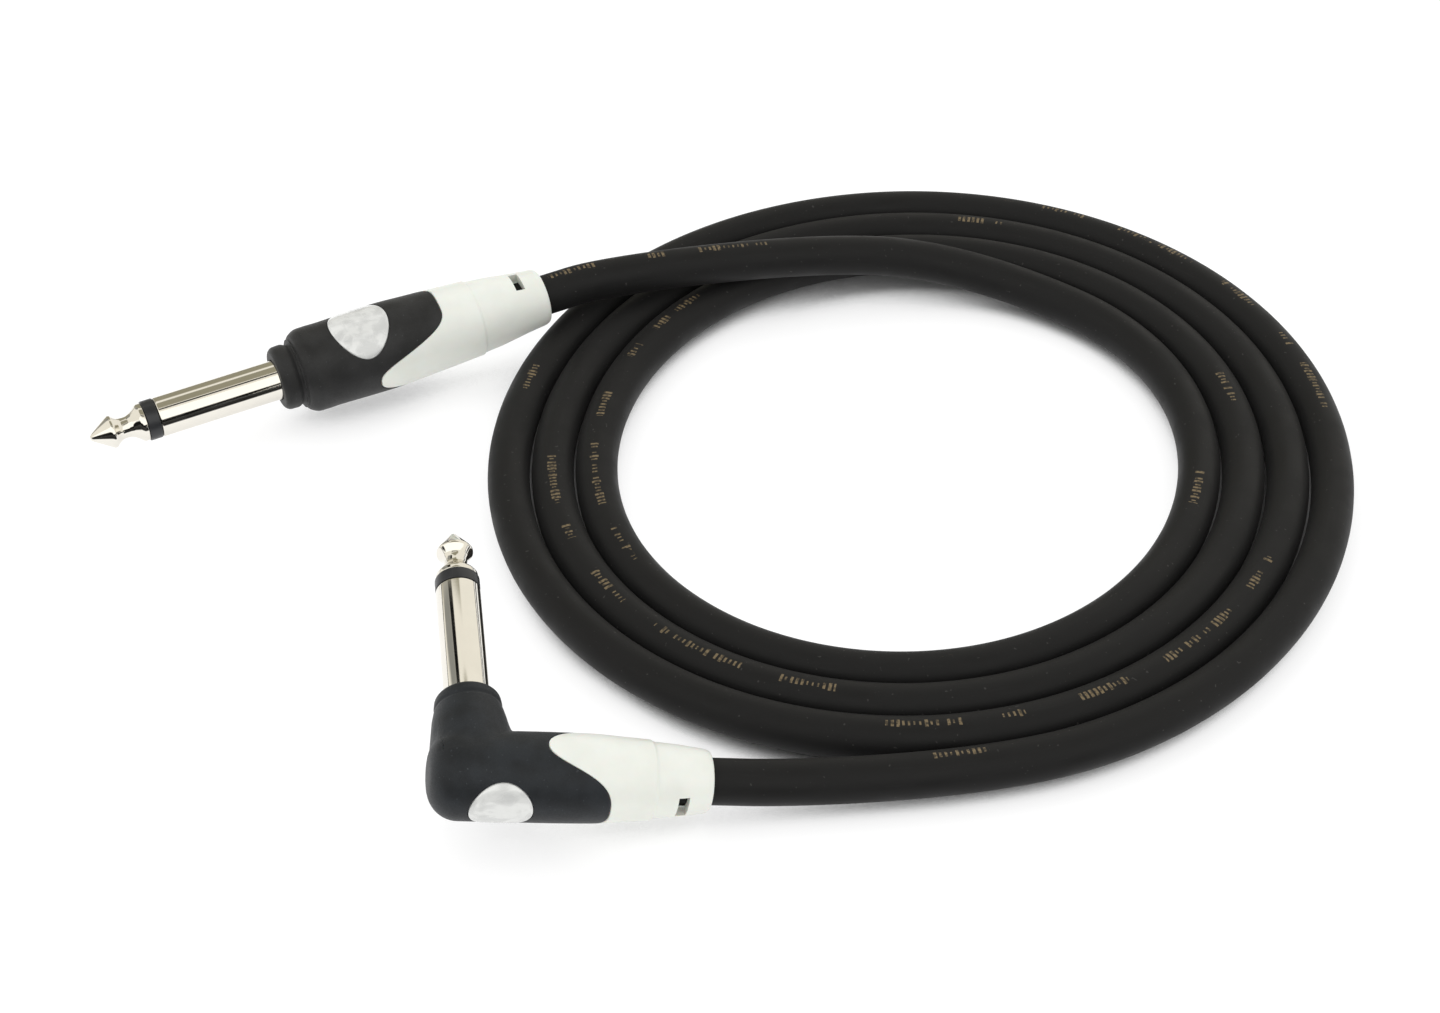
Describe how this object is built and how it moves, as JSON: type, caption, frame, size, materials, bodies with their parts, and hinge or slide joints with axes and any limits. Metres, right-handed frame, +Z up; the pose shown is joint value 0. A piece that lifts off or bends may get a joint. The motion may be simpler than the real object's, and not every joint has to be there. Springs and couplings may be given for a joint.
{
  "type": "instrument cable",
  "caption": "Coiled shielded instrument cable with a straight and a right-angle 6.35 mm phone plug in black and white moulded handles; its leads bend at the plugs and away from the coil.",
  "frame": {"origin": "middle of the whole cable's footprint, on the surface it lies on", "axes": "+Z up from that surface; -Y is the near side, where the right-angle plug lies; both plugs point towards -X"},
  "size_m": [0.1952, 0.158, 0.0195],
  "materials": {
    "jacket_rubber": "matte black soft jacket with faint print marks",
    "grip_elastomer": "matte black soft-touch overmoulding",
    "shell_plastic": "satin off-white moulded plastic",
    "badge_plastic": "pearl grey-white inlaid badge",
    "nickel": "polished nickel plate",
    "black_insulator": "black moulded insulator",
    "tinned_steel": "tinned sheet metal",
    "solder": "bright solder",
    "copper": "bare stranded copper",
    "core_polythene": "natural polythene insulation"
  },
  "bodies": {
    "coil": {"coil_jacket": "jacket_rubber", "coil_shield": "copper", "coil_core": "core_polythene", "coil_conductor": "copper", "outer_turn_flex": "jacket_rubber", "straight_lead_flex": "jacket_rubber"},
    "outer_turn": {"outer_turn_jacket": "jacket_rubber", "outer_turn_shield": "copper", "outer_turn_core": "core_polythene", "outer_turn_conductor": "copper", "angled_lead_flex": "jacket_rubber"},
    "angled_lead": {"angled_lead_jacket": "jacket_rubber", "angled_lead_shield": "copper", "angled_lead_core": "core_polythene", "angled_lead_conductor": "copper", "angled_plug_flex": "jacket_rubber"},
    "angled_plug": {"angled_tip": "nickel", "angled_insulator_ring": "black_insulator", "angled_sleeve": "nickel", "angled_insulator_tube": "black_insulator", "angled_rear_washer": "black_insulator", "angled_grip": "grip_elastomer", "angled_shell": "shell_plastic", "angled_badge": "badge_plastic", "angled_ground_lug": "tinned_steel", "angled_tip_lug": "tinned_steel", "angled_tip_joint": "solder", "angled_ground_joint": "solder", "angled_cable_clamp": "tinned_steel", "angled_tail_jacket": "jacket_rubber", "angled_tail_shield": "copper", "angled_tail_core": "core_polythene", "angled_tail_conductor": "copper"},
    "straight_lead": {"straight_lead_jacket": "jacket_rubber", "straight_lead_shield": "copper", "straight_lead_core": "core_polythene", "straight_lead_conductor": "copper", "straight_plug_flex": "jacket_rubber"},
    "straight_plug": {"straight_tip": "nickel", "straight_insulator_ring": "black_insulator", "straight_sleeve": "nickel", "straight_insulator_tube": "black_insulator", "straight_rear_washer": "black_insulator", "straight_grip": "grip_elastomer", "straight_shell": "shell_plastic", "straight_badge": "badge_plastic", "straight_ground_lug": "tinned_steel", "straight_tip_lug": "tinned_steel", "straight_tip_joint": "solder", "straight_ground_joint": "solder", "straight_cable_clamp": "tinned_steel", "straight_tail_jacket": "jacket_rubber", "straight_tail_shield": "copper", "straight_tail_core": "core_polythene", "straight_tail_conductor": "copper"}
  },
  "joints": [
    {"name": "coil_unwind", "type": "hinge", "parent": "coil", "child": "outer_turn", "pos_m": [0.02932, 0.07591, 0.00314], "axis": [0, 0, 1], "range_deg": [0, 45], "stiffness_Nm_per_rad": 0.05, "deforming": ["outer_turn_flex"]},
    {"name": "angled_lead_swing", "type": "hinge", "parent": "outer_turn", "child": "angled_lead", "pos_m": [0.05095, -0.05899, 0.00314], "axis": [0, 0, 1], "range_deg": [0, 45], "stiffness_Nm_per_rad": 0.05, "deforming": ["angled_lead_flex"]},
    {"name": "angled_plug_bend", "type": "hinge", "parent": "angled_lead", "child": "angled_plug", "pos_m": [0.00923, -0.06669, 0.00375], "axis": [-0.1495, 0.9888, 0], "range_deg": [0, 45], "stiffness_Nm_per_rad": 0.05, "deforming": ["angled_plug_flex"]},
    {"name": "straight_lead_lift", "type": "hinge", "parent": "coil", "child": "straight_lead", "pos_m": [0.05788, 0.04687, 0.00314], "axis": [0.6259, 0.7799, 0], "range_deg": [0, 35], "stiffness_Nm_per_rad": 0.05, "deforming": ["straight_lead_flex"]},
    {"name": "straight_plug_bend", "type": "hinge", "parent": "straight_lead", "child": "straight_plug", "pos_m": [-0.01872, 0.04444, 0.01043], "axis": [-0.4195, 0.9078, 0], "range_deg": [0, 40], "stiffness_Nm_per_rad": 0.05, "deforming": ["straight_plug_flex"]}
  ]
}
